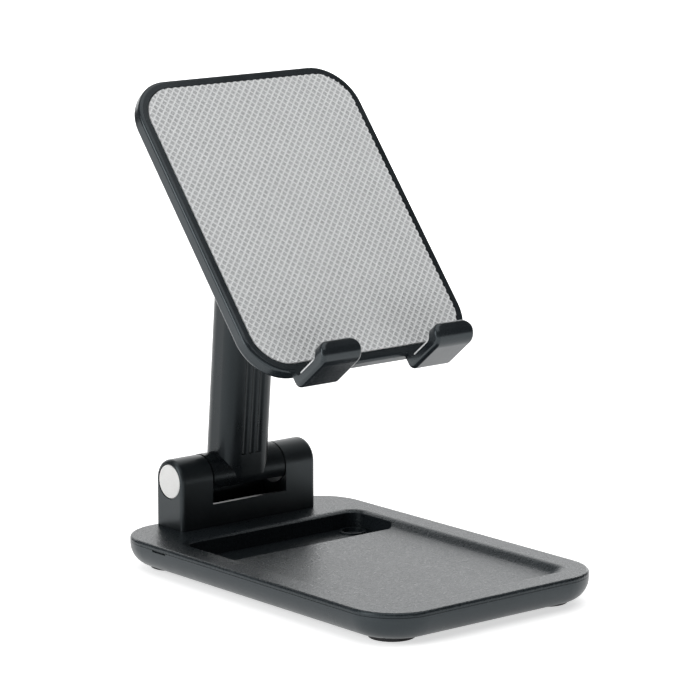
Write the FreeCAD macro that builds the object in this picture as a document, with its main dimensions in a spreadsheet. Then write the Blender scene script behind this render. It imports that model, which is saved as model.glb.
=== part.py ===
import FreeCAD, Part
import math
import os

import Sketcher
from FreeCAD import Placement, Rotation, Vector

# Foldable desk stand for a phone.
# +X is to the right, the front faces -Y, +Z is up, and the origin is under the middle of the
# base on the plane of the foot pads. Lengths are in millimetres and angles in degrees.

DIMENSIONS = {
    # base
    "base_width": 80.0,
    "base_length": 122.0,
    "base_corner": 14.3,
    "base_top": 9.3,
    "parting_height": 7.9,
    "parting_gap": 0.12,
    "foot_height": 1.0,
    "foot_radius": 6.3,
    "foot_sink": 0.3,
    "foot_x": 27.5,
    "foot_y": 48.0,
    "tray_round": 6.2,
    "tray_wall": 1.3,
    "cover_skin": 1.2,
    "cover_inset": 1.8,
    "cover_edge": 0.8,
    "rim_width": 7.7,
    "recess_depth": 2.0,
    "recess_corner": 5.0,
    "recess_slope": 55.0,
    "recess_round": 3.5,
    "recess_rim": 3.0,
    "well_front": 19.2,
    "well_back": 38.9,
    "well_floor": 4.1,
    "well_wall": 1.2,
    "well_lip": 1.0,
    "well_corner": 3.0,
    "well_edge": 0.4,
    "well_screw_x": 26.5,
    "well_screw_y": 33.0,
    "boss_radius": 2.8,
    "boss_lift": 1.2,
    "ring_lift": 0.5,
    "ring_radius": 4.0,
    "ring_hollow": 3.1,
    "ring_depth": 1.1,
    "ring_centre": 1.9,
    "notch_length": 6.0,
    "notch_height": 0.5,
    "notch_y": 38.0,
    "ballast_width": 50.0,
    "ballast_length": 58.0,
    "ballast_height": 3.0,
    "ballast_y": -15.0,
    # screws of the base
    "screw_shank": 1.0,
    "screw_head": 1.9,
    "screw_head_height": 0.9,
    "bracket_screw_x": 19.0,
    "bracket_screw_shank": 1.5,
    "bracket_screw_head": 2.8,
    "bracket_screw_head_height": 2.0,
    "bracket_screw_length": 9.0,
    # hinge bracket
    "hinge_y": 53.7,
    "hinge_height": 23.0,
    "bracket_width": 48.8,
    "bracket_depth": 12.6,
    "bracket_gap": 26.8,
    "bracket_floor": 15.8,
    "stop_wall_top": 18.0,
    "stop_wall_depth": 1.6,
    "bracket_edge": 1.4,
    "slot_front_wall": 1.3,
    "slot_floor": 11.0,
    "cap_radius": 4.9,
    "cap_gap": 0.15,
    "cap_thickness": 1.4,
    "cap_sink": 1.5,
    "cap_edge": 0.3,
    "bolt_radius": 1.5,
    "bolt_clearance": 0.05,
    "bolt_head_radius": 2.8,
    "bolt_head_height": 2.6,
    "bolt_pocket_radius": 3.1,
    "bolt_pocket_depth": 2.8,
    "nut_flats": 5.5,
    "nut_height": 2.4,
    "nut_pocket_depth": 3.4,
    "spring_washer_thickness": 0.7,
    "washer_thickness": 0.5,
    "washer_gap": 0.05,
    "washer_radius": 5.6,
    # arm
    "arm_lean": 4.87,
    "arm_length": 88.1,
    "arm_width": 16.8,
    "arm_depth": 13.3,
    "arm_corner": 5.0,
    "barrel_radius": 6.4,
    "barrel_drop": 2.25,
    "sleeve_top": 74.0,
    "sleeve_edge": 0.8,
    "bore_width": 12.0,
    "bore_depth": 8.0,
    "bore_corner": 2.4,
    "bore_bottom": 12.0,
    "rib_pitch": 2.6,
    "rib_groove_radius": 1.3,
    "rib_groove_depth": 0.45,
    "rib_bottom": 6.6,
    "rib_top": 70.0,
    "collar_height": 1.4,
    "collar_margin": 0.5,
    "collar_skirt": 5.0,
    "collar_wall": 0.7,
    # telescopic pole
    "pole_width": 11.7,
    "pole_depth": 7.7,
    "pole_corner": 2.3,
    "pole_wall": 1.2,
    "pole_bottom": 16.0,
    "pole_top": 79.5,
    "pole_slot_width": 3.0,
    "pole_travel": 22.0,
    "stop_screw_z": 66.0,
    "stop_screw_radius": 1.0,
    "stop_screw_head": 1.8,
    "plug_length": 9.0,
    "plug_flange": 1.6,
    "knuckle_radius": 5.0,
    "knuckle_width": 13.0,
    # holder
    "panel_lean": 39.1,
    "panel_width": 78.1,
    "panel_height": 94.8,
    "panel_corner": 13.2,
    "pivot_depth": 12.5,
    "pivot_rise": 22.2,
    "frame_depth": 2.8,
    "frame_border": 2.6,
    "frame_edge": 1.0,
    "pad_gap": 0.3,
    "pad_sink": 1.2,
    "pad_proud": 0.4,
    "seam_gap": 0.3,
    "cover_depth": 1.5,
    "cover_margin": 0.25,
    "cover_round": 1.1,
    "hook_width": 13.8,
    "hook_x": 20.2,
    "hook_reach": 13.8,
    "hook_wall": 3.5,
    "hook_floor": 2.9,
    "hook_drop": 1.3,
    "hook_lip": 3.2,
    "hook_bend": 3.8,
    "hook_inner_bend": 1.8,
    "hook_rear_bend": 2.2,
    "hook_lip_corner": 3.0,
    "hook_edge": 1.2,
    "liner_thickness": 0.65,
    "liner_length": 7.4,
    "liner_margin": 0.5,
    "lug_gap": 14.5,
    "lug_thickness": 4.0,
    "lug_radius": 4.6,
    "lug_foot": 18.0,
    "pin_radius": 1.5,
    "pin_clearance": 0.05,
    "pin_head_radius": 2.7,
    "pin_head_height": 1.2,
    "pin_nut_flats": 5.0,
    "pin_nut_height": 1.6,
    "holder_screw_x": 27.0,
    "holder_screw_z": 34.0,
    "holder_screw_depth": 1.1,
    "end_margin": 0.4,
}

doc = FreeCAD.newDocument("phone_stand")
sheet = doc.addObject("Spreadsheet::Sheet", "Dims")
for row, (alias, number) in enumerate(DIMENSIONS.items(), start=1):
    sheet.set(f"A{row}", alias)
    sheet.set(f"B{row}", str(number))
    sheet.setAlias(f"B{row}", alias)
doc.recompute()

LENGTHWAYS = Rotation(Vector(0, 1, 0), 90)


def size(expression):
    """The value of an expression over the sheet's aliases."""
    return float(sheet.evalExpression(expression))


def bind(thing, prop, expression):
    """Bind a property to an expression in which each alias stands for its cell of the sheet."""
    words = []
    for word in expression.split():
        words.append(f"Dims.{word}" if word in DIMENSIONS else word)
    thing.setExpression(prop, " ".join(words))


# --- building blocks ---------------------------------------------------------------------------


def new_body(label):
    """An empty PartDesign body with a label of its own."""
    body = doc.addObject("PartDesign::Body", label)
    body.Label = label
    return body


def new_sketch(body, name, plane, offset):
    """A sketch on one of the body's origin planes, moved by three expressions."""
    sketch = body.newObject("Sketcher::SketchObject", name)
    role = plane + "_Plane"
    support = [f for f in body.Origin.OriginFeatures if f.Role == role][0]
    sketch.AttachmentSupport = [(support, "")]
    sketch.MapMode = "FlatFace"
    for axis, expression in zip("xyz", offset):
        bind(sketch, f"AttachmentOffset.Base.{axis}", expression)
    return sketch


def draw_circle(sketch, radius):
    """A circle about the sketch's origin."""
    sketch.addGeometry(Part.Circle(Vector(), Vector(0, 0, 1), size(radius)))
    sketch.addConstraint(Sketcher.Constraint("Coincident", 0, 3, -1, 1))
    index = sketch.addConstraint(Sketcher.Constraint("Radius", 0, size(radius)))
    bind(sketch, f"Constraints[{index}]", radius)


def draw_rounded(sketch, width, height, corner):
    """A rectangle about the sketch's origin with four equal rounded corners."""
    x, y, r = size(width) / 2, size(height) / 2, size(corner)
    normal = Vector(0, 0, 1)
    sides = [
        ((-x + r, -y), (x - r, -y)),
        ((x, -y + r), (x, y - r)),
        ((x - r, y), (-x + r, y)),
        ((-x, y - r), (-x, -y + r)),
    ]
    for start, end in sides:
        sketch.addGeometry(Part.LineSegment(Vector(*start, 0), Vector(*end, 0)))
    centres = [(x - r, -y + r), (x - r, y - r), (-x + r, y - r), (-x + r, -y + r)]
    for quarter, centre in enumerate(centres):
        circle = Part.Circle(Vector(*centre, 0), normal, r)
        first = (quarter - 1) * math.pi / 2
        sketch.addGeometry(Part.ArcOfCircle(circle, first, first + math.pi / 2))
    for quarter in range(4):
        arc = 4 + quarter
        sketch.addConstraint(Sketcher.Constraint("Tangent", quarter, 2, arc, 1))
        sketch.addConstraint(Sketcher.Constraint("Tangent", arc, 2, (quarter + 1) % 4, 1))
    for arc in (5, 6, 7):
        sketch.addConstraint(Sketcher.Constraint("Equal", 4, arc))
    sketch.addConstraint(Sketcher.Constraint("Horizontal", 0))
    sketch.addConstraint(Sketcher.Constraint("Vertical", 1))
    limits = [
        ("DistanceX", 3, f"- ( {width} ) / 2"),
        ("DistanceX", 1, f"( {width} ) / 2"),
        ("DistanceY", 0, f"- ( {height} ) / 2"),
        ("DistanceY", 2, f"( {height} ) / 2"),
    ]
    for kind, side, expression in limits:
        value = size(expression)
        index = sketch.addConstraint(Sketcher.Constraint(kind, -1, 1, side, 1, value))
        bind(sketch, f"Constraints[{index}]", expression)
    index = sketch.addConstraint(Sketcher.Constraint("Radius", 4, r))
    bind(sketch, f"Constraints[{index}]", corner)


def extrude(body, kind, sketch, length, taper="0"):
    """Pad or pocket a sketch along the sketch's own normal, growing by a taper angle."""
    feature = body.newObject(f"PartDesign::{kind}", f"{sketch.Name}_{kind}")
    feature.Profile = sketch
    bind(feature, "Length", length)
    feature.Reversed = kind == "Pocket"
    if taper != "0":
        bind(feature, "TaperAngle", taper)
    before = body.Shape.Volume if body.Shape.Faces else 0.0
    doc.recompute()
    change = body.Shape.Volume - before
    if (change > 0) != (kind == "Pad"):
        raise RuntimeError(f"{body.Label}: {sketch.Name} changes the volume by {change}")
    return feature


def block(body, kind, name, plane, middle, outline, length):
    """Pad or pocket a rounded rectangle: outline is its width, its height and its corner."""
    sketch = new_sketch(body, name, plane, middle)
    draw_rounded(sketch, *outline)
    return extrude(body, kind, sketch, length)


def disc(body, kind, name, plane, middle, radius, length):
    """Pad or pocket a circle."""
    sketch = new_sketch(body, name, plane, middle)
    draw_circle(sketch, radius)
    return extrude(body, kind, sketch, length)


def outline_pad(body, kind, name, plane, middle, edges, length, taper="0"):
    """Pad or pocket a closed outline that is given as Part curves."""
    sketch = new_sketch(body, name, plane, middle)
    for edge in edges:
        sketch.addGeometry(edge)
    return extrude(body, kind, sketch, length, taper)


def rounded_outline(corners):
    """Closed lines and arcs round a polygon whose corners are given as x, y and radius."""
    curves = []
    ends = []
    for number, (x, y, radius) in enumerate(corners):
        here = Vector(x, y, 0)
        before = (Vector(*corners[number - 1][:2], 0) - here).normalize()
        after = (Vector(*corners[(number + 1) % len(corners)][:2], 0) - here).normalize()
        half = before.getAngle(after) / 2
        reach = radius / math.tan(half)
        ends.append((here + before * reach, here + after * reach))
        if radius:
            middle = here + (before + after).normalize() * (radius / math.sin(half) - radius)
            curves.append(Part.Arc(ends[-1][0], middle, ends[-1][1]))
    for number, (start, end) in enumerate(ends):
        curves.append(Part.LineSegment(ends[number - 1][1], start))
    return curves


def round_edges(body, name, radius, wanted):
    """Fillet the edges of the body's tip for which wanted(box, edge) is true."""
    base = body.Tip
    names = []
    for number, edge in enumerate(base.Shape.Edges, start=1):
        if wanted(edge.BoundBox, edge):
            names.append(f"Edge{number}")
    if not names:
        raise RuntimeError(f"{body.Label}: {name} finds no edge")
    fillet = body.newObject("PartDesign::Fillet", name)
    fillet.Base = (base, names)
    bind(fillet, "Radius", radius)
    doc.recompute()
    if not fillet.isValid():
        raise RuntimeError(f"{body.Label}: {name} can't be rounded")
    return fillet


def hollow_out(body, name, wall, wanted):
    """Leave only a wall inside the body's skin, open at the faces for which wanted(box) is true."""
    base = body.Tip
    names = []
    for number, face in enumerate(base.Shape.Faces, start=1):
        if wanted(face.BoundBox):
            names.append(f"Face{number}")
    shell = body.newObject("PartDesign::Thickness", name)
    shell.Base = (base, names)
    shell.Reversed = True
    bind(shell, "Value", wall)
    before = base.Shape.Volume
    doc.recompute()
    if not shell.isValid() or body.Shape.Volume >= before:
        raise RuntimeError(f"{body.Label}: {name} can't be hollowed out")
    return shell


def near(value, target, slack=0.01):
    """True where a coordinate is on a plane."""
    return abs(value - target) < slack


def flat_at(box, axis, level):
    """True for an edge that lies wholly at one level of an axis."""
    low = getattr(box, axis + "Min")
    high = getattr(box, axis + "Max")
    return near(low, level) and near(high, level)


def rod(name, radius, length, base, turn=None):
    """A Part cylinder with bound sizes, laid along X unless it is turned otherwise."""
    cylinder = doc.addObject("Part::Cylinder", name)
    bind(cylinder, "Radius", radius)
    bind(cylinder, "Height", length)
    cylinder.Placement = Placement(base, LENGTHWAYS if turn is None else turn)
    return cylinder


def join(name, pieces):
    """Fuse Part solids into one."""
    fuse = doc.addObject("Part::MultiFuse", name)
    fuse.Shapes = pieces
    return fuse


def subtract(name, base, tool):
    """Cut one Part solid with another."""
    cut = doc.addObject("Part::Cut", name)
    cut.Base = base
    cut.Tool = tool
    return cut


def group(label, pieces):
    """Hold separate solids together as one sub-part."""
    compound = doc.addObject("Part::Compound", label)
    compound.Label = label
    compound.Links = pieces
    return compound


def ring(name, outer, inner, length, base, turn=None):
    """A washer, laid along X unless it is turned otherwise."""
    disk = rod(name + "_disk", outer, length, base, turn)
    hole = rod(name + "_hole", inner, length, base, turn)
    return subtract(name, disk, hole)


def hexagon(name, flats, length, hole, base):
    """A hexagon nut along X."""
    prism = doc.addObject("Part::Prism", name + "_prism")
    prism.Polygon = 6
    bind(prism, "Circumradius", f"{flats} / sqrt(3)")
    bind(prism, "Height", length)
    prism.Placement = Placement(base, LENGTHWAYS)
    bore = rod(name + "_bore", hole, length, base)
    return subtract(name, prism, bore)


def screw(name, shank, head, head_height, length, base, turn):
    """A pan-head screw: its head starts at base and its shank runs on along the same line."""
    top = rod(name + "_head", head, head_height, base, turn)
    along = turn.multVec(Vector(0, 0, size(head_height)))
    stem = rod(name + "_shank", shank, length, base + along, turn)
    return join(name, [top, stem])


# --- base --------------------------------------------------------------------------------------

WELL_WIDTH = "( base_width - 2 * rim_width )"
WELL_LENGTH = "( well_back - well_front )"
WELL_Y = "( well_back + well_front ) / 2"
RECESS_FLOOR = "( base_top - recess_depth )"
COVER_UNDERSIDE = "( base_top - recess_depth - cover_skin )"
TRAY_FLOOR = "( foot_height + tray_wall )"
CORNERS = [(-1, -1), (1, -1), (1, 1), (-1, 1)]


def make_tray():
    """The lower shell: a shallow bowl with raised seats for the screws and a pry notch."""
    body = new_body("base_bottom_tray")
    outline = ("base_width", "base_length", "base_corner")
    height = "parting_height - foot_height"
    block(body, "Pad", "tray_outside", "XY", ("0", "0", "foot_height"), outline, height)
    bottom = size("foot_height")
    round_edges(body, "tray_curve", "tray_round", lambda box, edge: flat_at(box, "Z", bottom))
    rim = size("parting_height")
    hollow_out(body, "tray_inside", "tray_wall", lambda box: flat_at(box, "Z", rim))
    for number, (sx, sy) in enumerate(CORNERS):
        spot = (f"{sx} * foot_x", f"{sy} * foot_y")
        seat = (*spot, f"{TRAY_FLOOR} - end_margin")
        lift = "boss_lift + end_margin"
        disc(body, "Pad", f"seat_{number}", "XY", seat, "boss_radius + boss_lift", lift)
        foot = (*spot, "foot_height - end_margin")
        depth = "foot_sink + end_margin"
        disc(body, "Pocket", f"foot_{number}", "XY", foot, "foot_radius + cap_gap", depth)
        head = "screw_head + cap_gap"
        depth = "foot_sink + screw_head_height + end_margin"
        disc(body, "Pocket", f"head_{number}", "XY", foot, head, depth)
        disc(body, "Pocket", f"hole_{number}", "XY", foot, "screw_shank + cap_gap", "base_top")
    for side in (-1, 1):
        spot = (f"{side} * well_screw_x", "well_screw_y", "foot_height - end_margin")
        name = "left" if side < 0 else "right"
        depth = "screw_head_height + end_margin"
        disc(body, "Pocket", f"well_head_{name}", "XY", spot, "screw_head + cap_gap", depth)
        hole = "screw_shank + cap_gap"
        disc(body, "Pocket", f"well_hole_{name}", "XY", spot, hole, "tray_wall + end_margin")
    notch = ("- base_width / 2", "notch_y", "parting_height - notch_height")
    outline = ("tray_wall", "notch_length", "notch_height / 2")
    block(body, "Pocket", "pry_notch", "XY", notch, outline, "notch_height + end_margin")
    return body


def make_cover():
    """The upper shell: rim, shallow recess, deep well across the back and screw bosses."""
    body = new_body("base_top_cover")
    outline = ("base_width", "base_length", "base_corner")
    low = "parting_height + parting_gap"
    block(body, "Pad", "slab", "XY", ("0", "0", low), outline, f"base_top - ( {low} )")
    plug = (
        "base_width - 2 * cover_inset",
        "base_length - 2 * cover_inset",
        "base_corner - cover_inset",
    )
    height = f"{low} - {COVER_UNDERSIDE}"
    block(body, "Pad", "plug", "XY", ("0", "0", COVER_UNDERSIDE), plug, height)
    underside = "( well_floor - cover_skin + end_margin / 4 )"
    outside = (
        f"{WELL_WIDTH} + 2 * well_wall",
        f"{WELL_LENGTH} + 2 * well_wall",
        "recess_corner + well_wall",
    )
    height = f"{COVER_UNDERSIDE} - {underside} + end_margin"
    block(body, "Pad", "well_box", "XY", ("0", WELL_Y, underside), outside, height)
    boss_foot = f"( {TRAY_FLOOR} + boss_lift + parting_gap )"
    for number, (sx, sy) in enumerate(CORNERS):
        spot = (f"{sx} * foot_x", f"{sy} * foot_y", boss_foot)
        height = f"{COVER_UNDERSIDE} - {boss_foot} + end_margin"
        disc(body, "Pad", f"boss_{number}", "XY", spot, "boss_radius", height)
    top = size("base_top")
    round_edges(body, "rim_edge", "cover_edge", lambda box, edge: flat_at(box, "Z", top))
    half = size(WELL_WIDTH) / 2
    front = size("rim_width - base_length / 2")
    back = size("well_back")
    run = size("recess_depth * tan(recess_slope * 1deg)")
    corner = size("recess_corner") - run
    outline = [
        (run - half, front + run, corner),
        (half - run, front + run, corner),
        (half - run, back - run, corner),
        (run - half, back - run, corner),
    ]
    start = ("0", "0", RECESS_FLOOR)
    depth = "recess_depth + end_margin"
    recess = outline_pad(
        body, "Pocket", "recess", "XY", start, rounded_outline(outline), depth, "recess_slope"
    )
    floor = size(RECESS_FLOOR)
    slack = size("recess_rim")
    round_edges(body, "recess_curve", "recess_round", lambda box, edge: flat_at(box, "Z", floor))

    def recess_rim(box, edge):
        across = max(abs(box.XMin), abs(box.XMax)) < half + slack
        along = box.YMin > front - slack and box.YMax < back + slack
        return flat_at(box, "Z", top) and across and along

    round_edges(body, "recess_edge", "recess_rim", recess_rim)
    lip = size("well_lip")
    well = [
        (lip - half, size("well_front"), size("well_corner")),
        (half - lip, size("well_front"), size("well_corner")),
        (half - lip, back - lip, size("recess_corner") - lip),
        (lip - half, back - lip, size("recess_corner") - lip),
    ]
    depth = "base_top - well_floor + end_margin"
    start = ("0", "0", "well_floor")
    outline_pad(body, "Pocket", "well", "XY", start, rounded_outline(well), depth)
    for side in (-1, 1):
        name = "left" if side < 0 else "right"
        spot = (f"{side} * well_screw_x", "well_screw_y")
        middle = (*spot, "well_floor - end_margin")
        disc(body, "Pad", f"ring_{name}", "XY", middle, "ring_radius", "ring_lift + end_margin")
        middle = (*spot, "well_floor + ring_lift - ring_depth")
        hollow = (body, "Pocket", f"ring_hollow_{name}", "XY", middle)
        disc(*hollow, "ring_hollow", "ring_depth + end_margin")
        middle = (*spot, "well_floor + ring_lift - ring_depth - end_margin")
        disc(body, "Pad", f"ring_boss_{name}", "XY", middle, "ring_centre", "2 * end_margin")
        start = (*spot, "foot_height")
        depth = "well_floor - foot_height + ring_lift - ring_depth - end_margin / 4"
        disc(body, "Pocket", f"well_pilot_{name}", "XY", start, "screw_shank", depth)
    for number, (sx, sy) in enumerate(CORNERS):
        start = (f"{sx} * foot_x", f"{sy} * foot_y", "foot_height")
        depth = f"{COVER_UNDERSIDE} - foot_height + end_margin"
        disc(body, "Pocket", f"pilot_{number}", "XY", start, "screw_shank", depth)
    for side in (-1, 1):
        name = "left" if side < 0 else "right"
        start = (f"{side} * bracket_screw_x", "hinge_y", "foot_height")
        radius = "bracket_screw_shank + cap_gap"
        disc(body, "Pocket", f"bracket_hole_{name}", "XY", start, radius, "base_top")
    return body


def make_ballast():
    """A steel plate that lies on the tray's floor and keeps the stand from tipping."""
    body = new_body("ballast_plate")
    outline = ("ballast_width", "ballast_length", "boss_radius")
    middle = ("0", "ballast_y", TRAY_FLOOR)
    block(body, "Pad", "plate", "XY", middle, outline, "ballast_height")
    for side in (-1, 1):
        name = "left" if side < 0 else "right"
        spot = (f"{side} * ballast_width / 4", "ballast_y", TRAY_FLOOR)
        disc(body, "Pocket", f"hole_{name}", "XY", spot, "boss_radius", "ballast_height")
    return body


def make_hold_downs():
    """Foam strips squeezed between the plate and the cover, so that the plate can't rattle."""
    low = f"{TRAY_FLOOR} + ballast_height"
    height = f"{COVER_UNDERSIDE} - ( {low} )"
    strips = []
    for side in (-1, 1):
        strip = doc.addObject("Part::Box", "strip_left" if side < 0 else "strip_right")
        bind(strip, "Length", "well_wall * 4")
        bind(strip, "Width", "ballast_length - 2 * boss_radius")
        bind(strip, "Height", height)
        x = side * size("ballast_width / 2 - well_wall * 2 - boss_radius")
        y = size("ballast_y - ballast_length / 2 + boss_radius")
        strip.Placement.Base = Vector(x - size("well_wall * 2"), y, size(low))
        strips.append(strip)
    return group("ballast_foam_strips", strips)


def make_feet():
    """Four round rubber pads let into the tray under its corners."""
    upright = Rotation()
    feet = []
    for number, (sx, sy) in enumerate(CORNERS):
        base = Vector(sx * size("foot_x"), sy * size("foot_y"), 0)
        height = "foot_height + foot_sink"
        pad = rod(f"foot_pad_{number}", "foot_radius", height, base, upright)
        feet.append(pad)
    return group("foot_pads", feet)


def make_base_screws():
    """Six small screws driven up through the tray: four under the feet and two at the well."""
    upright = Rotation()
    screws = []
    start = size("foot_height + foot_sink")
    length = f"{COVER_UNDERSIDE} - foot_height - foot_sink - screw_head_height - cap_gap"
    for number, (sx, sy) in enumerate(CORNERS):
        base = Vector(sx * size("foot_x"), sy * size("foot_y"), start)
        name = f"corner_screw_{number}"
        screws.append(
            screw(name, "screw_shank", "screw_head", "screw_head_height", length, base, upright)
        )
    length = "well_floor - foot_height - screw_head_height + ring_lift - ring_depth - end_margin"
    for side in (-1, 1):
        x = side * size("well_screw_x")
        base = Vector(x, size("well_screw_y"), size("foot_height"))
        name = "well_screw_left" if side < 0 else "well_screw_right"
        screws.append(
            screw(name, "screw_shank", "screw_head", "screw_head_height", length, base, upright)
        )
    return group("base_screws", screws)


def make_bracket_screws():
    """Two screws driven up through the cover into the bracket, under its ears."""
    upright = Rotation()
    screws = []
    for side in (-1, 1):
        height = size(COVER_UNDERSIDE) - size("bracket_screw_head_height")
        base = Vector(side * size("bracket_screw_x"), size("hinge_y"), height)
        screws.append(
            screw(
                "bracket_screw_left" if side < 0 else "bracket_screw_right",
                "bracket_screw_shank",
                "bracket_screw_head",
                "bracket_screw_head_height",
                "bracket_screw_length",
                base,
                upright,
            )
        )
    return group("bracket_screws", screws)


def make_bracket():
    """The upright yoke on the base: two round-topped ears with a gap for the arm's barrel."""
    body = new_body("hinge_bracket")
    half_depth = size("bracket_depth / 2")
    low = size("base_top - hinge_height")
    corner = Vector(-half_depth, low, 0)
    opposite = Vector(half_depth, low, 0)
    left = Vector(-half_depth, 0, 0)
    right = Vector(half_depth, 0, 0)
    side_view = [
        Part.LineSegment(corner, opposite),
        Part.LineSegment(opposite, right),
        Part.Arc(right, Vector(0, half_depth, 0), left),
        Part.LineSegment(left, corner),
    ]
    middle = ("hinge_y", "hinge_height", "- bracket_width / 2")
    outline_pad(body, "Pad", "side_view", "YZ", middle, side_view, "bracket_width")
    half_width = size("bracket_width / 2")

    def outer_edges(box, edge):
        side = flat_at(box, "X", -half_width) or flat_at(box, "X", half_width)
        return side and not flat_at(box, "Z", size("base_top"))

    round_edges(body, "ear_edges", "bracket_edge", outer_edges)
    opening = ("bracket_gap", "2 * bracket_depth", "well_edge")
    middle = ("0", "hinge_y", "bracket_floor")
    block(body, "Pocket", "gap", "XY", middle, opening, "hinge_height")
    slot = ("bracket_gap", "bracket_depth - slot_front_wall - stop_wall_depth", "well_edge")
    middle = ("0", "hinge_y + slot_front_wall / 2 - stop_wall_depth / 2", "slot_floor")
    block(body, "Pocket", "slot", "XY", middle, slot, "bracket_floor")
    wall = ("bracket_gap + 2 * end_margin", "stop_wall_depth", "well_edge")
    height = "stop_wall_top - bracket_floor + end_margin"
    middle = (
        "0",
        "hinge_y + bracket_depth / 2 - stop_wall_depth / 2",
        "bracket_floor - end_margin",
    )
    block(body, "Pad", "stop_wall", "XY", middle, wall, height)
    radius = "cap_radius + cap_gap"
    side_start = "- bracket_width / 2 - end_margin"
    depth = "cap_sink + end_margin"
    axis = ("hinge_y", "hinge_height")
    disc(body, "Pocket", "cap_seat_left", "YZ", (*axis, side_start), radius, depth)
    start = "bracket_width / 2 - cap_sink"
    disc(body, "Pocket", "cap_seat_right", "YZ", (*axis, start), radius, depth)
    depth = "cap_sink + bolt_pocket_depth + end_margin"
    pocket = (*axis, side_start)
    disc(body, "Pocket", "head_pocket", "YZ", pocket, "bolt_pocket_radius", depth)
    start = "bracket_width / 2 - cap_sink - nut_pocket_depth"
    radius = "nut_flats / sqrt(3) + cap_gap"
    disc(body, "Pocket", "nut_pocket", "YZ", (*axis, start), radius, "nut_pocket_depth")
    radius = "bolt_radius + bolt_clearance"
    length = "bracket_width + 2 * end_margin"
    disc(body, "Pocket", "bolt_bore", "YZ", (*axis, side_start), radius, length)
    for side in (-1, 1):
        name = "left" if side < 0 else "right"
        start = (f"{side} * bracket_screw_x", "hinge_y", "base_top - end_margin")
        depth = "bracket_screw_length - cover_skin - recess_depth + 2 * end_margin"
        radius = "bracket_screw_shank"
        disc(body, "Pocket", f"screw_hole_{name}", "XY", start, radius, depth)
    return body


def make_cap(label, side):
    """A round cap that closes one end of the hinge's bore."""
    body = new_body(label)
    outer = "bracket_width / 2 - cap_sink"
    start = outer if side > 0 else f"- ( {outer} ) - cap_thickness"
    middle = ("hinge_y", "hinge_height", start)
    disc(body, "Pad", "disc", "YZ", middle, "cap_radius", "cap_thickness")
    face = side * (size(outer) + size("cap_thickness"))
    round_edges(body, "edge", "cap_edge", lambda box, edge: flat_at(box, "X", face))
    return body


def make_bolt():
    """The steel bolt that the arm turns on."""
    head_start = size("- bracket_width / 2 + cap_sink + end_margin / 4")
    base = Vector(head_start, size("hinge_y"), size("hinge_height"))
    length = "bracket_width - 2 * cap_sink - bolt_head_height - end_margin"
    head = rod("bolt_head", "bolt_head_radius", "bolt_head_height", base)
    start = base + Vector(size("bolt_head_height"), 0, 0)
    stem = rod("bolt_stem", "bolt_radius", length, start)
    socket = doc.addObject("Part::Prism", "bolt_socket")
    socket.Polygon = 6
    bind(socket, "Circumradius", "bolt_radius * 0.8")
    bind(socket, "Height", "bolt_head_height / 2")
    socket.Placement = Placement(base, LENGTHWAYS)
    bolt = subtract("hinge_bolt", join("bolt_solid", [head, stem]), socket)
    bolt.Label = "hinge_bolt"
    return bolt


def make_nut():
    """The hexagon nut on the hinge bolt."""
    start = size("bracket_width / 2 - cap_sink - nut_height - end_margin / 2")
    base = Vector(start, size("hinge_y"), size("hinge_height"))
    hole = "bolt_radius + bolt_clearance / 2"
    nut = hexagon("hinge_nut", "nut_flats", "nut_height", hole, base)
    nut.Label = "hinge_nut"
    return nut


def make_spring_washer():
    """The dished washer under the nut, drawn flat, that keeps the hinge stiff."""
    start = size("bracket_width / 2 - cap_sink - nut_pocket_depth")
    base = Vector(start, size("hinge_y"), size("hinge_height"))
    hole = "bolt_radius + 2 * bolt_clearance"
    washer = ring(
        "hinge_spring_washer", "bolt_head_radius", hole, "spring_washer_thickness", base
    )
    washer.Label = "hinge_spring_washer"
    return washer


def make_hinge_washers():
    """Two friction washers, one on each side of the arm's barrel."""
    rings = []
    for side in (-1, 1):
        inner = side * size("bracket_gap / 2")
        start = inner if side < 0 else inner - size("washer_thickness")
        base = Vector(start, size("hinge_y"), size("hinge_height"))
        name = "hinge_washer_left" if side < 0 else "hinge_washer_right"
        hole = "bolt_radius + 2 * bolt_clearance"
        rings.append(ring(name, "washer_radius", hole, "washer_thickness", base))
    return group("hinge_friction_washers", rings)


# --- arm, in its own frame: origin on the hinge's axis, +Z along the arm -------------------------


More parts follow.
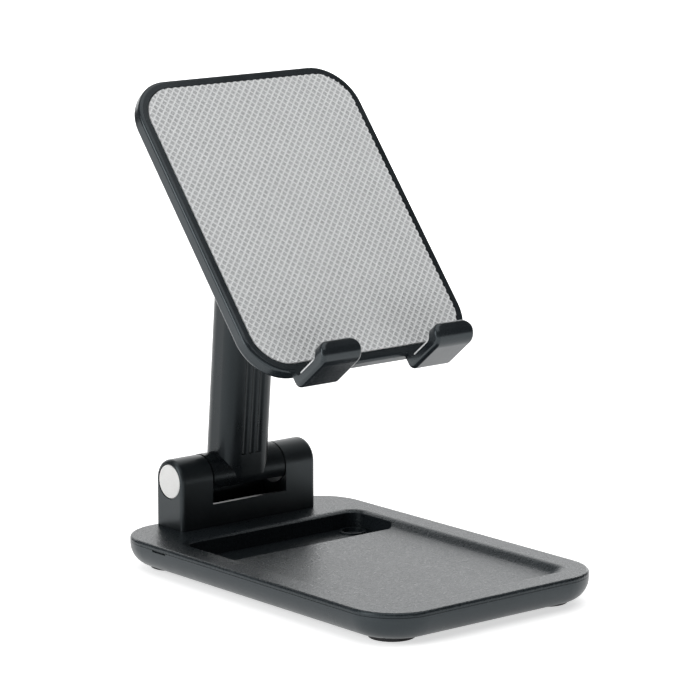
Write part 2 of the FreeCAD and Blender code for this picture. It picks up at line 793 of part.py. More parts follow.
def make_sleeve():
    """The arm's outer tube, with the barrel that sits between the bracket's ears."""
    body = new_body("arm_sleeve")
    outline = ("arm_width", "arm_depth", "arm_corner")
    block(body, "Pad", "column", "XY", ("0", "0", "0"), outline, "sleeve_top")
    top = size("sleeve_top")
    round_edges(body, "top_edge", "sleeve_edge", lambda box, edge: flat_at(box, "Z", top))
    half = "( bracket_gap / 2 - washer_thickness - washer_gap )"
    barrel = ("0", "0", f"- {half}")
    disc(body, "Pad", "barrel", "YZ", barrel, "barrel_radius", f"2 * {half}")
    flat = ("2 * bracket_gap", "3 * barrel_radius", "well_edge")
    start = ("0", "0", "- 2 * barrel_radius")
    depth = "2 * barrel_radius - barrel_drop"
    block(body, "Pocket", "barrel_flat", "XY", start, flat, depth)
    bore = ("bore_width", "bore_depth", "bore_corner")
    height = "sleeve_top - bore_bottom + end_margin"
    block(body, "Pocket", "pole_bore", "XY", ("0", "0", "bore_bottom"), bore, height)
    mouth = (
        "bore_width + 2 * collar_wall",
        "bore_depth + 2 * collar_wall",
        "bore_corner + collar_wall",
    )
    start = "sleeve_top - collar_skirt"
    height = "collar_skirt + end_margin"
    block(body, "Pocket", "collar_seat", "XY", ("0", "0", start), mouth, height)
    ends = ("0", "0", f"- {half} - end_margin")
    length = f"2 * {half} + 2 * end_margin"
    disc(body, "Pocket", "bolt_bore", "YZ", ends, "bolt_radius + bolt_clearance", length)
    face = "( - arm_depth / 2 - rib_groove_radius + rib_groove_depth )"
    for number in (-1, 0, 1):
        middle = (f"{number} * rib_pitch", face, "rib_bottom")
        name = f"groove_{number + 1}"
        disc(body, "Pocket", name, "XY", middle, "rib_groove_radius", "rib_top - rib_bottom")
    middle = ("0", "stop_screw_z", "- arm_depth / 2 - end_margin")
    radius = "stop_screw_radius + bolt_clearance"
    disc(body, "Pocket", "stop_hole", "XZ", middle, radius, "arm_depth / 2")
    radius = "stop_screw_head + cap_gap"
    disc(body, "Pocket", "stop_head", "XZ", middle, radius, "screw_head_height + 2 * end_margin")
    return body


def make_collar():
    """The slip ring in the sleeve's mouth, which guides the pole and keeps dirt out."""
    body = new_body("sleeve_collar")
    flange = (
        "arm_width - 2 * collar_margin",
        "arm_depth - 2 * collar_margin",
        "arm_corner - collar_margin",
    )
    block(body, "Pad", "flange", "XY", ("0", "0", "sleeve_top"), flange, "collar_height")
    skirt = (
        "bore_width + 2 * collar_wall - 0.1",
        "bore_depth + 2 * collar_wall - 0.1",
        "bore_corner + collar_wall",
    )
    start = "sleeve_top - collar_skirt + end_margin / 2"
    height = "collar_skirt"
    block(body, "Pad", "skirt", "XY", ("0", "0", start), skirt, height)
    hole = (
        "pole_width + 0.16",
        "pole_depth + 0.16",
        "pole_corner + 0.08",
    )
    height = "2 * collar_skirt"
    start = "sleeve_top - collar_skirt - end_margin"
    block(body, "Pocket", "passage", "XY", ("0", "0", start), hole, height)
    top = size("sleeve_top + collar_height")
    edge_radius = "collar_margin"

    def outer_rim(box, edge):
        return flat_at(box, "Z", top) and (box.XLength > 13 or abs(edge.CenterOfMass.x) > 6.5)

    round_edges(body, "flange_edge", edge_radius, outer_rim)
    return body


def make_stop_screw():
    """A small screw through the sleeve's back, whose tip runs in the pole's slot."""
    forward = Rotation(Vector(1, 0, 0), 90)
    base = Vector(0, size("arm_depth / 2 - end_margin / 2"), size("stop_screw_z"))
    length = "arm_depth / 2 - pole_depth / 2 - screw_head_height + end_margin"
    piece = screw(
        "pole_stop_screw",
        "stop_screw_radius",
        "stop_screw_head",
        "screw_head_height",
        length,
        base,
        forward,
    )
    piece.Label = "pole_stop_screw"
    return piece


def make_pole():
    """The inner tube that slides up out of the sleeve to raise the holder."""
    body = new_body("inner_pole")
    outline = ("pole_width", "pole_depth", "pole_corner")
    height = "pole_top - pole_bottom"
    block(body, "Pad", "tube", "XY", ("0", "0", "pole_bottom"), outline, height)
    hollow = (
        "pole_width - 2 * pole_wall",
        "pole_depth - 2 * pole_wall",
        "pole_corner - pole_wall",
    )
    start = ("0", "0", "pole_bottom - end_margin")
    block(body, "Pocket", "hollow", "XY", start, hollow, f"{height} + 2 * end_margin")
    slot = (
        "pole_slot_width",
        "pole_travel + pole_slot_width",
        "pole_slot_width * 0.49",
    )
    middle = ("0", "stop_screw_z - pole_travel / 2", "- pole_depth / 2 - end_margin")
    block(body, "Pocket", "stop_slot", "XZ", middle, slot, "pole_wall + 2 * end_margin")
    return body


def make_pole_plug():
    """The plastic shoe in the pole's lower end, which rubs in the sleeve and holds the height."""
    body = new_body("pole_friction_shoe")
    foot = ("bore_width - 0.1", "bore_depth - 0.1", "bore_corner")
    start = "pole_bottom - plug_flange"
    block(body, "Pad", "foot", "XY", ("0", "0", start), foot, "plug_flange")
    stem = (
        "pole_width - 2 * pole_wall - 0.04",
        "pole_depth - 2 * pole_wall - 0.04",
        "pole_corner - pole_wall",
    )
    block(body, "Pad", "stem", "XY", ("0", "0", "pole_bottom"), stem, "plug_length")
    return body


def make_knuckle():
    """The pole's head: a plug in the tube's top end and a round eye for the holder's pin."""
    body = new_body("pole_head")
    stem = (
        "pole_width - 2 * pole_wall - 0.04",
        "pole_depth - 2 * pole_wall - 0.04",
        "pole_corner - pole_wall",
    )
    start = "pole_top - plug_length"
    block(body, "Pad", "stem", "XY", ("0", "0", start), stem, "plug_length")
    neck = ("pole_width", "pole_depth", "pole_corner")
    height = "arm_length - pole_top"
    block(body, "Pad", "neck", "XY", ("0", "0", "pole_top"), neck, height)
    middle = ("0", "arm_length", "- knuckle_width / 2")
    disc(body, "Pad", "eye", "YZ", middle, "knuckle_radius", "knuckle_width")
    middle = ("0", "arm_length", "- knuckle_width")
    radius = "pin_radius + pin_clearance"
    disc(body, "Pocket", "pin_bore", "YZ", middle, radius, "2 * knuckle_width")
    return body


# --- holder, in its own frame: origin at the middle of its front face, +Z up the face ------------

HOOK_INSIDE = "( panel_height / 2 + hook_drop )"


def add_hook(body, side):
    """One J-shaped hook: a root under the frame, a floor that runs forward and a lip."""
    front = -size("hook_reach")
    inner = front + size("hook_wall")
    rear = size("frame_depth")
    floor = -size(HOOK_INSIDE)
    low = floor - size("hook_floor")
    tip = floor + size("hook_lip")
    root = -size("panel_height / 2 - frame_border / 2")
    corners = [
        (rear, low, size("hook_rear_bend")),
        (rear, root, 0),
        (0, root, 0),
        (0, floor, size("hook_inner_bend / 2")),
        (inner, floor, size("hook_inner_bend")),
        (inner, tip, 0),
        (front, tip, 0),
        (front, low, size("hook_bend")),
    ]
    name = "hook_left" if side < 0 else "hook_right"
    middle = ("0", "0", f"{side} * hook_x - hook_width / 2")
    outline_pad(body, "Pad", name, "YZ", middle, rounded_outline(corners), "hook_width")


def round_hooks(body):
    """Round the corners of the hooks' lips and then the outer edges of the hooks."""
    low = -size(HOOK_INSIDE) - size("hook_floor")
    tip = size("hook_lip") - size(HOOK_INSIDE)
    front = -size("hook_reach")

    def lip_corner(box, edge):
        return flat_at(box, "Z", tip) and box.XLength < 0.1

    def outer_edge(box, edge):
        beside = box.XLength < 0.1 and box.YMin < -2
        return flat_at(box, "Y", front) or (beside and near(box.ZMin, low))

    round_edges(body, "lip_corners", "hook_lip_corner", lip_corner)
    round_edges(body, "hook_edges", "hook_edge", outer_edge)


def make_frame():
    """The front frame: a tray for the soft pad with two hooks along its lower side."""
    body = new_body("holder_front_frame")
    outline = ("panel_width", "panel_height", "panel_corner")
    back = ("0", "0", "- frame_depth")
    block(body, "Pad", "plate", "XZ", back, outline, "frame_depth")
    round_edges(body, "front_edge", "frame_edge", lambda box, edge: flat_at(box, "Y", 0.0))
    seat = (
        "panel_width - 2 * frame_border",
        "panel_height - 2 * frame_border",
        "panel_corner - frame_border",
    )
    middle = ("0", "0", "- pad_sink")
    block(body, "Pocket", "pad_seat", "XZ", middle, seat, "pad_sink + end_margin")
    for side in (-1, 1):
        add_hook(body, side)
    round_hooks(body)
    for sx, sz in CORNERS:
        middle = (f"{sx} * holder_screw_x", f"{sz} * holder_screw_z", "- frame_depth - end_margin")
        name = f"screw_{'left' if sx < 0 else 'right'}_{'low' if sz < 0 else 'high'}"
        depth = "holder_screw_depth + 2 * end_margin"
        disc(body, "Pocket", name, "XZ", middle, "screw_shank", depth)
    return body


def make_rear_cover():
    """The thin back shell of the holder, with the two lugs of the tilt hinge."""
    body = new_body("holder_rear_cover")
    outline = (
        "panel_width - 2 * cover_margin",
        "panel_height - 2 * cover_margin",
        "panel_corner - cover_margin",
    )
    back = "( frame_depth + seam_gap + cover_depth )"
    block(body, "Pad", "shell", "XZ", ("0", "0", f"- {back}"), outline, "cover_depth")
    rear = size(back)
    round_edges(body, "rear_edge", "cover_round", lambda box, edge: flat_at(box, "Y", rear))
    reach = size("pivot_depth") - rear
    foot = size("lug_foot / 2")
    radius = size("lug_radius")
    slope = math.atan2(reach, foot) + math.asin(radius / math.hypot(reach, foot))
    upper = Vector(radius * math.cos(slope), radius * math.sin(slope), 0)
    lower = Vector(upper.x, -upper.y, 0)
    top = Vector(-reach, foot, 0)
    bottom = Vector(-reach, -foot, 0)
    sunk = Vector(-size("end_margin"), 0, 0)
    for side in (-1, 1):
        name = "left" if side < 0 else "right"
        inner = "lug_gap / 2" if side > 0 else "- lug_gap / 2 - lug_thickness"
        side_view = [
            Part.LineSegment(bottom + sunk, bottom),
            Part.LineSegment(bottom, lower),
            Part.Arc(lower, Vector(radius, 0, 0), upper),
            Part.LineSegment(upper, top),
            Part.LineSegment(top, top + sunk),
            Part.LineSegment(top + sunk, bottom + sunk),
        ]
        middle = ("pivot_depth", "pivot_rise", inner)
        outline_pad(body, "Pad", f"lug_{name}", "YZ", middle, side_view, "lug_thickness")
    middle = ("pivot_depth", "pivot_rise", "- lug_gap")
    radius = "pin_radius + pin_clearance"
    disc(body, "Pocket", "pin_bore", "YZ", middle, radius, "2 * lug_gap")
    for sx, sz in CORNERS:
        place = (f"{sx} * holder_screw_x", f"{sz} * holder_screw_z")
        name = f"{'left' if sx < 0 else 'right'}_{'low' if sz < 0 else 'high'}"
        middle = (*place, f"- {back} - end_margin")
        depth = "cover_depth + 2 * end_margin"
        disc(body, "Pocket", f"hole_{name}", "XZ", middle, "screw_shank + cap_gap", depth)
        depth = "screw_head_height + 1.5 * end_margin"
        disc(body, "Pocket", f"head_{name}", "XZ", middle, "screw_head + cap_gap", depth)
    return body


def make_pad():
    """The soft pad that the phone leans on, let into the frame and a little proud of it."""
    body = new_body("silicone_pad")
    outline = (
        "panel_width - 2 * frame_border - 2 * pad_gap",
        "panel_height - 2 * frame_border - 2 * pad_gap",
        "panel_corner - frame_border - pad_gap",
    )
    depth = "pad_sink + pad_proud"
    block(body, "Pad", "sheet", "XZ", ("0", "0", "- pad_sink"), outline, depth)
    return body


def make_liner(label, side):
    """A soft strip on one hook's floor, under the phone's edge."""
    body = new_body(label)
    outline = ("hook_width - 2 * liner_margin", "liner_length", "liner_margin")
    start = "hook_inner_bend / 2 + end_margin / 4"
    middle = (f"{side} * hook_x", f"- liner_length / 2 - {start}", f"- {HOOK_INSIDE}")
    block(body, "Pad", "strip", "XY", middle, outline, "liner_thickness")
    return body


def make_pin():
    """The headed pin that the holder tilts on."""
    start = size("- lug_gap / 2 - lug_thickness - pin_head_height")
    base = Vector(start, size("pivot_depth"), size("pivot_rise"))
    length = "lug_gap + 2 * lug_thickness + pin_nut_height + end_margin"
    head = rod("pin_head", "pin_head_radius", "pin_head_height", base)
    stem_base = base + Vector(size("pin_head_height"), 0, 0)
    stem = rod("pin_stem", "pin_radius", length, stem_base)
    pin = join("tilt_pin", [head, stem])
    pin.Label = "tilt_pin"
    return pin


def make_pin_nut():
    """The nut on the tilt pin."""
    start = size("lug_gap / 2 + lug_thickness")
    base = Vector(start, size("pivot_depth"), size("pivot_rise"))
    hole = "pin_radius + pin_clearance / 2"
    nut = hexagon("tilt_pin_nut", "pin_nut_flats", "pin_nut_height", hole, base)
    nut.Label = "tilt_pin_nut"
    return nut


def make_tilt_washers():
    """Two friction washers between the pole's head and the lugs."""
    rings = []
    for side in (-1, 1):
        inner = side * size("lug_gap / 2")
        start = inner if side < 0 else inner - size("washer_thickness + washer_gap * 2")
        base = Vector(start, size("pivot_depth"), size("pivot_rise"))
        name = "tilt_washer_left" if side < 0 else "tilt_washer_right"
        thickness = "washer_thickness + washer_gap * 2"
        hole = "pin_radius + 2 * pin_clearance"
        rings.append(ring(name, "lug_radius", hole, thickness, base))
    return group("tilt_friction_washers", rings)


def make_holder_screws():
    """Four screws that hold the rear cover to the front frame."""
    forward = Rotation(Vector(1, 0, 0), 90)
    screws = []
    depth = size("frame_depth + seam_gap + cover_depth - end_margin / 2")
    length = "holder_screw_depth + seam_gap + cover_depth - screw_head_height - end_margin / 2"
    for number, (sx, sz) in enumerate(CORNERS):
        base = Vector(sx * size("holder_screw_x"), depth, sz * size("holder_screw_z"))
        name = f"holder_screw_{number}"
        screws.append(
            screw(name, "screw_shank", "screw_head", "screw_head_height", length, base, forward)
        )
    return group("holder_screws", screws)


# --- assembly ----------------------------------------------------------------------------------


def arm_placement():
    """The arm stands on the hinge's axis and leans forward."""
    base = Vector(0, size("hinge_y"), size("hinge_height"))
    return Placement(base, Rotation(Vector(1, 0, 0), size("arm_lean")))


def holder_placement():
    """The holder leans back about the pin at the arm's end."""
    turn = Rotation(Vector(1, 0, 0), -size("panel_lean"))
    pivot = arm_placement().multVec(Vector(0, 0, size("arm_length")))
    reach = turn.multVec(Vector(0, size("pivot_depth"), size("pivot_rise")))
    return Placement(pivot - reach, turn)


BASE_PARTS = [
    make_tray(),
    make_cover(),
    make_ballast(),
    make_hold_downs(),
    make_feet(),
    make_base_screws(),
    make_bracket_screws(),
    make_bracket(),
    make_cap("hinge_cap_left", -1),
    make_cap("hinge_cap_right", 1),
    make_bolt(),
    make_nut(),
    make_spring_washer(),
    make_hinge_washers(),
]
ARM_PARTS = [
    make_sleeve(),
    make_collar(),
    make_stop_screw(),
    make_pole(),
    make_pole_plug(),
    make_knuckle(),
]
HOLDER_PARTS = [
    make_frame(),
    make_rear_cover(),
    make_pad(),
    make_liner("hook_liner_left", -1),
    make_liner("hook_liner_right", 1),
    make_pin(),
    make_pin_nut(),
    make_tilt_washers(),
    make_holder_screws(),
]

for piece in ARM_PARTS:
    piece.Placement = arm_placement()
for piece in HOLDER_PARTS:
    piece.Placement = holder_placement()
doc.recompute()

failed = [o.Name for o in doc.Objects if "Invalid" in o.State or "Error" in o.State]
if failed:
    raise RuntimeError(f"objects failed: {failed}")

os.makedirs("parts", exist_ok=True)
for piece in BASE_PARTS + ARM_PARTS + HOLDER_PARTS:
    shape = piece.Shape
    if shape.isNull() or not shape.isValid() or not shape.Solids:
        raise RuntimeError(f"{piece.Label} has no valid solid")
    shape.exportStep(f"parts/{piece.Label}.step")
    print(f"{piece.Label}: {len(shape.Solids)} solid(s), {shape.Volume:.1f} mm3")
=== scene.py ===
import math

import bmesh
import bpy
from mathutils import Matrix, Vector


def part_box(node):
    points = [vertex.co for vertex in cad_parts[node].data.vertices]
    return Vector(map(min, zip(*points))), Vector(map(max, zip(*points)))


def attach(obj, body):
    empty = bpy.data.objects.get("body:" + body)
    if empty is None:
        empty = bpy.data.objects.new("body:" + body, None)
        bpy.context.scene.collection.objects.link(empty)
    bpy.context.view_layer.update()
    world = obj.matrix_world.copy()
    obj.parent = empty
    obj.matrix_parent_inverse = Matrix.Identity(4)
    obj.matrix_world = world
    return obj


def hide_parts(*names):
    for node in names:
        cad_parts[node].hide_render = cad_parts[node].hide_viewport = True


# The phone stand's looks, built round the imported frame. Lengths are in metres.

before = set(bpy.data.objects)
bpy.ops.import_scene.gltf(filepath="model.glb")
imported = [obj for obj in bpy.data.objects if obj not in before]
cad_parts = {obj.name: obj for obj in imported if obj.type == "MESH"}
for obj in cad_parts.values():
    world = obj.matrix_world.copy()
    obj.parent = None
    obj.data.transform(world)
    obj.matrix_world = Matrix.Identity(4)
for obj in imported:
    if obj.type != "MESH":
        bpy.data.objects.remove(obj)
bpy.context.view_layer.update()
scene = bpy.context.scene

MM = 0.001


# --- node helpers ------------------------------------------------------------------------------


class Nodes:
    """A short way to write a material's node tree."""

    def __init__(self, name):
        self.material = bpy.data.materials.new(name)
        self.material.use_nodes = True
        self.tree = self.material.node_tree
        self.shader = self.tree.nodes["Principled BSDF"]
        self.place = self.add("ShaderNodeTexCoord").outputs["Object"]

    def add(self, kind, **settings):
        node = self.tree.nodes.new(kind)
        for key, value in settings.items():
            setattr(node, key, value)
        return node

    def link(self, source, target):
        self.tree.links.new(source, target)

    def noise(self, scale, detail=2.0, roughness=0.5, distortion=0.0):
        node = self.add("ShaderNodeTexNoise")
        node.inputs["Scale"].default_value = scale
        node.inputs["Detail"].default_value = detail
        node.inputs["Roughness"].default_value = roughness
        node.inputs["Distortion"].default_value = distortion
        self.link(self.place, node.inputs["Vector"])
        return node.outputs["Fac"]

    def cells(self, scale):
        node = self.add("ShaderNodeTexVoronoi")
        node.inputs["Scale"].default_value = scale
        self.link(self.place, node.inputs["Vector"])
        return node.outputs["Distance"]

    def spread(self, value, low, high, start=0.3, end=0.7):
        node = self.add("ShaderNodeMapRange")
        node.inputs["From Min"].default_value = start
        node.inputs["From Max"].default_value = end
        node.inputs["To Min"].default_value = low
        node.inputs["To Max"].default_value = high
        self.link(value, node.inputs["Value"])
        return node.outputs["Result"]

    def ramp(self, value, first, second, start=0.3, end=0.7):
        node = self.add("ShaderNodeValToRGB")
        node.color_ramp.elements[0].position = start
        node.color_ramp.elements[1].position = end
        node.color_ramp.elements[0].color = (*first, 1.0)
        node.color_ramp.elements[1].color = (*second, 1.0)
        self.link(value, node.inputs["Fac"])
        return node.outputs["Color"]

    def blend(self, factor, first, second):
        node = self.add("ShaderNodeMix", data_type="FLOAT")
        node.inputs[0].default_value = factor
        self.link(first, node.inputs[2])
        self.link(second, node.inputs[3])
        return node.outputs[0]

    def bump(self, height, depth, strength=1.0):
        node = self.add("ShaderNodeBump")
        node.inputs["Strength"].default_value = strength
        node.inputs["Distance"].default_value = depth
        self.link(height, node.inputs["Height"])
        self.link(node.outputs["Normal"], self.shader.inputs["Normal"])

    def colour(self, socket):
        self.link(socket, self.shader.inputs["Base Color"])

    def rough(self, socket):
        self.link(socket, self.shader.inputs["Roughness"])

    def level(self, **values):
        for name, value in values.items():
            self.shader.inputs[name.replace("_", " ")].default_value = value


# --- materials ---------------------------------------------------------------------------------

COOL = (0.84, 0.95, 1.0, 1.0)

def moulded(name, dark, light, grain, depth, rough, specular=0.5):
    """Charcoal moulded plastic with a fine spark-eroded grain."""
    m = Nodes(name)
    fine = m.noise(grain, 3.0, 0.6)
    broad = m.noise(60.0, 2.0, 0.5)
    m.colour(m.ramp(m.blend(0.6, broad, fine), dark, light))
    m.rough(m.spread(fine, rough[0], rough[1]))
    m.bump(m.blend(0.35, fine, m.cells(grain * 0.8)), depth)
    m.level(Specular_IOR_Level=specular, Specular_Tint=COOL)
    return m.material


def satin(name, dark, light, rough, depth=0.000004, specular=0.5):
    """Smooth satin plastic with a faint orange peel."""
    m = Nodes(name)
    fine = m.noise(2600.0, 2.0, 0.5)
    broad = m.noise(90.0, 3.0, 0.6)
    m.colour(m.ramp(m.blend(0.5, broad, fine), dark, light))
    m.rough(m.spread(broad, rough[0], rough[1]))
    m.bump(m.blend(0.5, fine, m.noise(500.0)), depth)
    m.level(Specular_IOR_Level=specular, Specular_Tint=COOL)
    return m.material


def silicone(name, dark, light, rough=(0.55, 0.7)):
    """Soft grey silicone with a dusty, slightly mottled surface."""
    m = Nodes(name)
    fine = m.noise(3200.0, 3.0, 0.6)
    broad = m.noise(120.0, 3.0, 0.55)
    m.colour(m.ramp(m.blend(0.45, broad, fine), dark, light))
    m.rough(m.spread(fine, rough[0], rough[1]))
    m.bump(fine, 0.00001)
    m.level(Specular_IOR_Level=0.35)
    return m.material


def metal(name, dark, light, rough, grain_axis="X"):
    """Steel or aluminium with fine tool marks along one axis."""
    m = Nodes(name)
    stretch = m.add("ShaderNodeMapping")
    squeezed = {"X": (40.0, 2400.0, 2400.0), "Z": (2400.0, 2400.0, 40.0)}[grain_axis]
    stretch.inputs["Scale"].default_value = squeezed
    m.link(m.place, stretch.inputs["Vector"])
    marks = m.add("ShaderNodeTexNoise")
    marks.inputs["Scale"].default_value = 1.0
    marks.inputs["Detail"].default_value = 3.0
    m.link(stretch.outputs["Vector"], marks.inputs["Vector"])
    streaks = marks.outputs["Fac"]
    m.colour(m.ramp(streaks, dark, light))
    m.rough(m.spread(streaks, rough[0], rough[1]))
    m.bump(streaks, 0.000005)
    m.level(Metallic=1.0)
    return m.material


CHARCOAL = ((0.006, 0.0082, 0.0098), (0.016, 0.0205, 0.024))
BLACK = ((0.004, 0.0052, 0.0062), (0.0075, 0.0095, 0.0112))

top_plastic = moulded(
    "cover_plastic", *CHARCOAL, grain=1700.0, depth=0.00013, rough=(0.24, 0.4), specular=0.42
)
tray_plastic = satin("tray_plastic", (0.009, 0.0115, 0.0133), (0.016, 0.0198, 0.0228), (0.26, 0.38))
bracket_plastic = satin("bracket_plastic", *BLACK, rough=(0.3, 0.42))
arm_plastic = satin("arm_plastic", *BLACK, rough=(0.24, 0.34), specular=0.3)
frame_plastic = satin("frame_plastic", (0.008, 0.0102, 0.012), (0.014, 0.0175, 0.0205), (0.16, 0.27))
pad_silicone = silicone("pad_silicone", (0.78, 0.79, 0.795), (0.82, 0.83, 0.835))
# A darker copy of the pad's silicone for the pit faces: painted shade in the pits of the grid.
pad_pit_painted_shade = silicone("pad_pit_painted_shade", (0.57, 0.58, 0.585), (0.61, 0.62, 0.625))
liner_silicone = silicone("liner_silicone", (0.6, 0.605, 0.61), (0.74, 0.745, 0.75))
cap_plastic = silicone("cap_plastic", (0.62, 0.62, 0.61), (0.72, 0.72, 0.71), (0.5, 0.62))
rubber = silicone("foot_rubber", (0.012, 0.012, 0.013), (0.03, 0.03, 0.032), (0.6, 0.8))
foam = silicone("foam", (0.02, 0.02, 0.02), (0.05, 0.05, 0.05), (0.8, 0.95))
nylon = satin("nylon", (0.1, 0.1, 0.105), (0.18, 0.18, 0.185), (0.35, 0.5))
steel = metal("steel", (0.36, 0.36, 0.37), (0.6, 0.6, 0.61), (0.22, 0.4))
pole_metal = metal("anodised_tube", (0.1, 0.1, 0.105), (0.2, 0.2, 0.205), (0.25, 0.4), "Z")

CAD_LOOKS = {
    "base_top_cover": top_plastic,
    "base_bottom_tray": tray_plastic,
    "hinge_bracket": bracket_plastic,
    "arm_sleeve": arm_plastic,
    "sleeve_collar": nylon,
    "inner_pole": pole_metal,
    "pole_head": pole_metal,
    "pole_friction_shoe": nylon,
    "pole_stop_screw": steel,
    "holder_front_frame": frame_plastic,
    "holder_rear_cover": frame_plastic,
    "hook_liner_left": liner_silicone,
    "hook_liner_right": liner_silicone,
    "hinge_cap_left": cap_plastic,
    "hinge_cap_right": cap_plastic,
    "foot_pads": rubber,
    "ballast_foam_strips": foam,
    "ballast_plate": steel,
    "base_screws": steel,
    "bracket_screws": steel,
    "hinge_bolt": steel,
    "hinge_nut": steel,
    "hinge_spring_washer": steel,
    "hinge_friction_washers": nylon,
    "tilt_friction_washers": nylon,
    "tilt_pin": steel,
    "tilt_pin_nut": steel,
    "holder_screws": steel,
}
for node, material in CAD_LOOKS.items():
    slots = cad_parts[node].data.materials
    slots.clear()
    slots.append(material)


# --- the holder's grip pad -----------------------------------------------------------------------

HOLDER_LEAN = math.radians(39.1)
PAD_CORNER = 10.3 * MM
PAD_PITCH = 1.66 * MM
RIDGE = 0.4 * MM
PIT_SLOPE = 0.2 * MM
PIT_DEPTH = 0.3 * MM
STUD_RISE = 0.14 * MM
ROUNDING = 1e-7


def holder_matrix():
    """The holder's own frame: x across, y out of the back and z up the face, at the pad."""
    low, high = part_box("silicone_pad")
    across = Vector((1, 0, 0))
    up = Vector((0, math.sin(HOLDER_LEAN), math.cos(HOLDER_LEAN)))
    back = Vector((0, math.cos(HOLDER_LEAN), -math.sin(HOLDER_LEAN)))
    middle = (low + high) / 2
    turn = Matrix((across, back, up)).transposed().to_4x4()
    return Matrix.Translation(middle) @ turn


def pad_size(turn):
    """The CAD pad's width, height and thickness in the holder's frame."""
    inverse = turn.inverted()
    corners = [inverse @ v.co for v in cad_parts["silicone_pad"].data.vertices]
    spans = []
    for axis in range(3):
        values = [c[axis] for c in corners]
        spans.append(max(values) - min(values))
    return spans[0], spans[2], spans[1]


def waffle_stations():
    """Stations across one cell of the pattern: ridge, slope, middle and slope again."""
    half_ridge = RIDGE / 2
    slope_end = half_ridge + PIT_SLOPE
    return [-half_ridge, half_ridge, slope_end, PAD_PITCH / 2, PAD_PITCH - slope_end]


def zone(distance):
    """Where a point lies across a cell: 0 on a ridge, 1 in the pit and 2 in its middle."""
    offset = distance % PAD_PITCH
    offset = min(offset, PAD_PITCH - offset)
    if offset <= RIDGE / 2 + ROUNDING:
        return 0
    if offset >= PAD_PITCH / 2 - ROUNDING:
        return 2
    return 1


def depth_at(u, v):
    """Depth of the pattern at a point of the diagonal grid."""
    depths = (0.0, PIT_DEPTH, PIT_DEPTH - STUD_RISE)
    return depths[min(zone(u), zone(v))]


def clip(mesh, point, normal):
    """Cut away what lies beyond a plane."""
    geometry = mesh.verts[:] + mesh.edges[:] + mesh.faces[:]
    bmesh.ops.bisect_plane(
        mesh, geom=geometry, plane_co=point, plane_no=normal, clear_outer=True, dist=ROUNDING
    )


def make_pad():
    """The silicone pad with its raised diagonal grid, cut to the frame's rounded opening; its pit
    faces carry painted shade.
    """
    turn = holder_matrix()
    width, height, thickness = pad_size(turn)
    reach = (width + height) / 2 / math.sqrt(2) + PAD_PITCH
    cells = int(reach / PAD_PITCH) + 1
    stations = [i * PAD_PITCH + s for i in range(-cells, cells + 1) for s in waffle_stations()]
    mesh = bmesh.new()
    rows = []
    limit = Vector((width / 2 + PAD_PITCH, height / 2 + PAD_PITCH))
    half = math.sqrt(0.5)
    for u in stations:
        row = []
        for v in stations:
            x, z = (u - v) * half, (u + v) * half
            inside = abs(x) < limit.x and abs(z) < limit.y
            front = -thickness / 2 + depth_at(u, v)
            row.append(mesh.verts.new((x, front, z)) if inside else None)
        rows.append(row)
    for first, second in zip(rows, rows[1:]):
        for i in range(len(first) - 1):
            corners = (first[i], second[i], second[i + 1], first[i + 1])
            if all(corners):
                face = mesh.faces.new(corners)
                # Faces that dip below the ridge tops take the darker second material, painted shade
                # in the pits.
                face.material_index = int(any(c.co.y > -thickness / 2 for c in corners))
    clip(mesh, (width / 2, 0, 0), (1, 0, 0))
    clip(mesh, (-width / 2, 0, 0), (-1, 0, 0))
    clip(mesh, (0, 0, height / 2), (0, 0, 1))
    clip(mesh, (0, 0, -height / 2), (0, 0, -1))
    steps = 10
    for sx in (-1, 1):
        for sz in (-1, 1):
            centre = Vector((sx * (width / 2 - PAD_CORNER), 0, sz * (height / 2 - PAD_CORNER)))
            for step in range(1, steps):
                angle = math.pi / 2 * step / steps
                normal = Vector((sx * math.cos(angle), 0, sz * math.sin(angle)))
                clip(mesh, centre + normal * PAD_CORNER, normal)
    rim = [e for e in mesh.edges if e.is_boundary]
    side = bmesh.ops.extrude_edge_only(mesh, edges=rim)
    low_verts = [g for g in side["geom"] if isinstance(g, bmesh.types.BMVert)]
    for vert in low_verts:
        vert.co.y = thickness / 2
    low_edges = [g for g in side["geom"] if isinstance(g, bmesh.types.BMEdge)]
    bmesh.ops.contextual_create(mesh, geom=[e for e in low_edges if e.is_boundary])
    bmesh.ops.recalc_face_normals(mesh, faces=mesh.faces[:])
    data = bpy.data.meshes.new("silicone_pad_grip")
    mesh.to_mesh(data)
    mesh.free()
    data.transform(turn)
    data.materials.append(pad_silicone)
    # Second slot: the darker pit silicone, painted shade.
    data.materials.append(pad_pit_painted_shade)
    pad = bpy.data.objects.new("silicone_pad_grip", data)
    scene.collection.objects.link(pad)
    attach(pad, "holder")
    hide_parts("silicone_pad")
    return pad


make_pad()


# --- studio ------------------------------------------------------------------------------------


FLOOR_GLOW = (0.6, 1.05)


def make_floor():
    """A wide pale floor under the stand, lit evenly to white."""
    size = 6.0
    mesh = bmesh.new()
    bmesh.ops.create_grid(mesh, x_segments=2, y_segments=2, size=size)
    data = bpy.data.meshes.new("floor")
    mesh.to_mesh(data)
    mesh.free()
    m = Nodes("floor_paper")
    m.colour(m.ramp(m.noise(40.0), (0.86, 0.86, 0.86), (0.9, 0.9, 0.9)))
    m.level(Roughness=0.7, Specular_IOR_Level=0.1, Emission_Color=(1.0, 1.0, 1.0, 1.0))
    centre = m.add("ShaderNodeVectorMath", operation="LENGTH")
    m.link(m.place, centre.inputs[0])
    glow = m.spread(centre.outputs["Value"], FLOOR_GLOW[0], FLOOR_GLOW[1], 0.05, 0.6)
    m.link(glow, m.shader.inputs["Emission Strength"])
    data.materials.append(m.material)
    floor = bpy.data.objects.new("floor", data)
    floor.location.z = -0.02 * MM
    scene.collection.objects.link(floor)


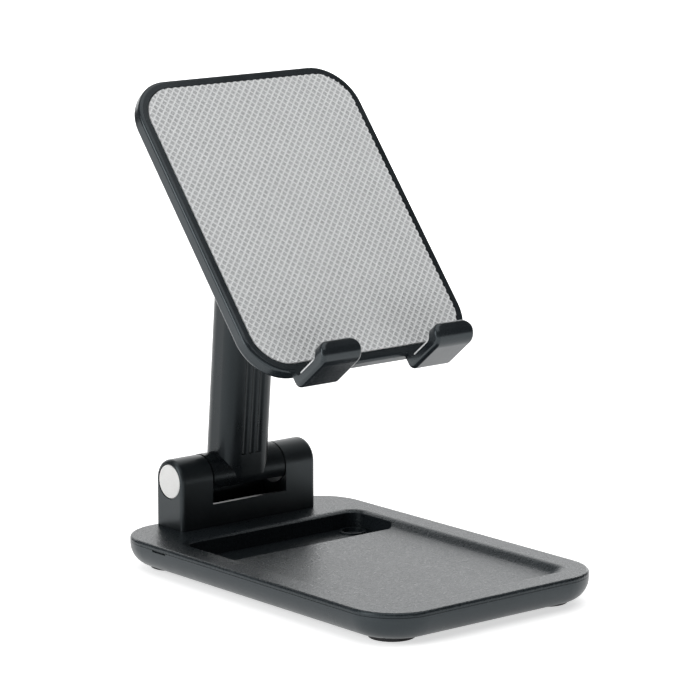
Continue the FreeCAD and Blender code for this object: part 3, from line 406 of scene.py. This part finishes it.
def area_light(name, place, target, size, power):
    """A soft rectangular light that faces a target."""
    data = bpy.data.lights.new(name, "AREA")
    data.shape = "RECTANGLE"
    data.size, data.size_y = size
    data.energy = power
    light = bpy.data.objects.new(name, data)
    light.location = place
    light.rotation_euler = (Vector(target) - Vector(place)).to_track_quat("-Z", "Y").to_euler()
    scene.collection.objects.link(light)


def make_world():
    """A soft grey room that the camera sees as white."""
    world = bpy.data.worlds.new("studio")
    scene.world = world
    world.use_nodes = True
    tree = world.node_tree
    room = tree.nodes["Background"]
    room.inputs["Color"].default_value = (1.0, 1.0, 1.0, 1.0)
    room.inputs["Strength"].default_value = 0.11
    seen = tree.nodes.new("ShaderNodeBackground")
    seen.inputs["Color"].default_value = (1.0, 1.0, 1.0, 1.0)
    seen.inputs["Strength"].default_value = 1.1
    path = tree.nodes.new("ShaderNodeLightPath")
    mix = tree.nodes.new("ShaderNodeMixShader")
    tree.links.new(path.outputs["Is Camera Ray"], mix.inputs["Fac"])
    tree.links.new(room.outputs["Background"], mix.inputs[1])
    tree.links.new(seen.outputs["Background"], mix.inputs[2])
    tree.links.new(mix.outputs["Shader"], tree.nodes["World Output"].inputs["Surface"])


def make_lights():
    """A top softbox, a broad one behind and a strip on each side."""
    aim = (0, 0, 0.06)
    area_light("top", (0.0, -0.1, 1.1), aim, (1.4, 1.4), 8.5)
    area_light("behind", (0.55, 1.0, 0.45), aim, (1.6, 0.8), 6.5)
    area_light("left", (-1.1, 0.15, 0.45), aim, (0.6, 1.0), 7.0)
    area_light("right", (1.0, 0.5, 0.4), aim, (0.5, 1.0), 2.0)


CAMERA_AZIMUTH = -39.782
CAMERA_ELEVATION = 11.171
CAMERA_DISTANCE = 1.0112
CAMERA_LENS = 188.24
CAMERA_PAN = (-1.498 * MM, 6.221 * MM)


def make_camera():
    """A long lens a metre away, seen from the front left and a little above."""
    azimuth = math.radians(CAMERA_AZIMUTH)
    elevation = math.radians(CAMERA_ELEVATION)
    back = Vector(
        (
            math.sin(azimuth) * math.cos(elevation),
            -math.cos(azimuth) * math.cos(elevation),
            math.sin(elevation),
        )
    )
    right = Vector((math.cos(azimuth), math.sin(azimuth), 0))
    up = back.cross(right)
    target = Vector((0, 0, 60 * MM)) + right * CAMERA_PAN[0] + up * CAMERA_PAN[1]
    data = bpy.data.cameras.new("camera")
    data.sensor_width = 36.0
    data.lens = CAMERA_LENS
    data.clip_start = 0.05
    data.clip_end = 50.0
    camera = bpy.data.objects.new("camera", data)
    camera.location = target + back * CAMERA_DISTANCE
    turn = Matrix((right, up, back)).transposed()
    camera.rotation_mode = "QUATERNION"
    camera.rotation_quaternion = turn.to_quaternion()
    scene.collection.objects.link(camera)
    scene.camera = camera


make_floor()
make_world()
make_lights()
make_camera()
scene.view_settings.view_transform = "Standard"
scene.view_settings.look = "None"
